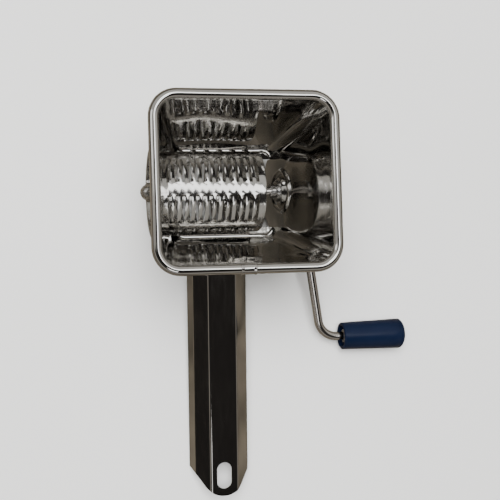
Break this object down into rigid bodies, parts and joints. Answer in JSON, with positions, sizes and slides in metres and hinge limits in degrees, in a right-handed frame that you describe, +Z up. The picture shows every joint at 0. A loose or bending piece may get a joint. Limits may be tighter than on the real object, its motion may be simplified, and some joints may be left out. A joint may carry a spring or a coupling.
{
  "type": "rotary grater",
  "caption": "Hand-cranked rotary grater: square steel hopper with rolled rim, slotted drum, bent wire crank with blue plastic grip, and folded channel handle with a hanging slot.",
  "frame": {"origin": "under the middle of the whole object, on the surface that it lies on, mouth up", "axes": "+X along the drum towards the crank, +Y away from the handle, +Z up out of the mouth"},
  "size_m": [0.135, 0.1831, 0.0759],
  "materials": {
    "hopper_steel": "mirror-polished sheet steel",
    "handle_steel": "mirror-polished sheet steel",
    "drum_steel": "polished pressed sheet steel",
    "rod_steel": "polished drawn wire",
    "hardware_steel": "satin turned steel",
    "grip_plastic": "gloss moulded plastic, dark blue"
  },
  "bodies": {
    "body": {"hopper_shell": "hopper_steel", "rim_wire": "hopper_steel", "rim_joint_clip": "hopper_steel", "drum_bearing_collar": "hopper_steel", "crank_bush": "hardware_steel", "bush_nut": "hardware_steel", "handle_shell": "handle_steel", "handle_saddle": "handle_steel", "saddle_rivets": "hardware_steel"},
    "crank_drum": {"drum_shell": "drum_steel", "drum_end_flange": "drum_steel", "end_spider": "drum_steel", "end_lock_washer": "hardware_steel", "end_cap_nut": "hardware_steel", "drum_drive_plate": "drum_steel", "drive_hub": "hardware_steel", "crank_rod": "rod_steel", "inner_circlip": "hardware_steel", "outer_thrust_washer": "hardware_steel", "stop_collar": "hardware_steel", "grip_stop_ring": "hardware_steel", "grip_push_washer": "hardware_steel"},
    "grip": {"grip_body": "grip_plastic", "grip_end_cap": "grip_plastic"}
  },
  "joints": [
    {"name": "crank_turn", "type": "hinge", "parent": "body", "child": "crank_drum", "pos_m": [-0.0265, 0.05295, 0.0228], "axis": [1, 0, 0], "continuous": true},
    {"name": "grip_spin", "type": "hinge", "parent": "crank_drum", "child": "grip", "pos_m": [0.0495, -0.01861, 0.0074], "axis": [1, 0, 0], "continuous": true}
  ]
}
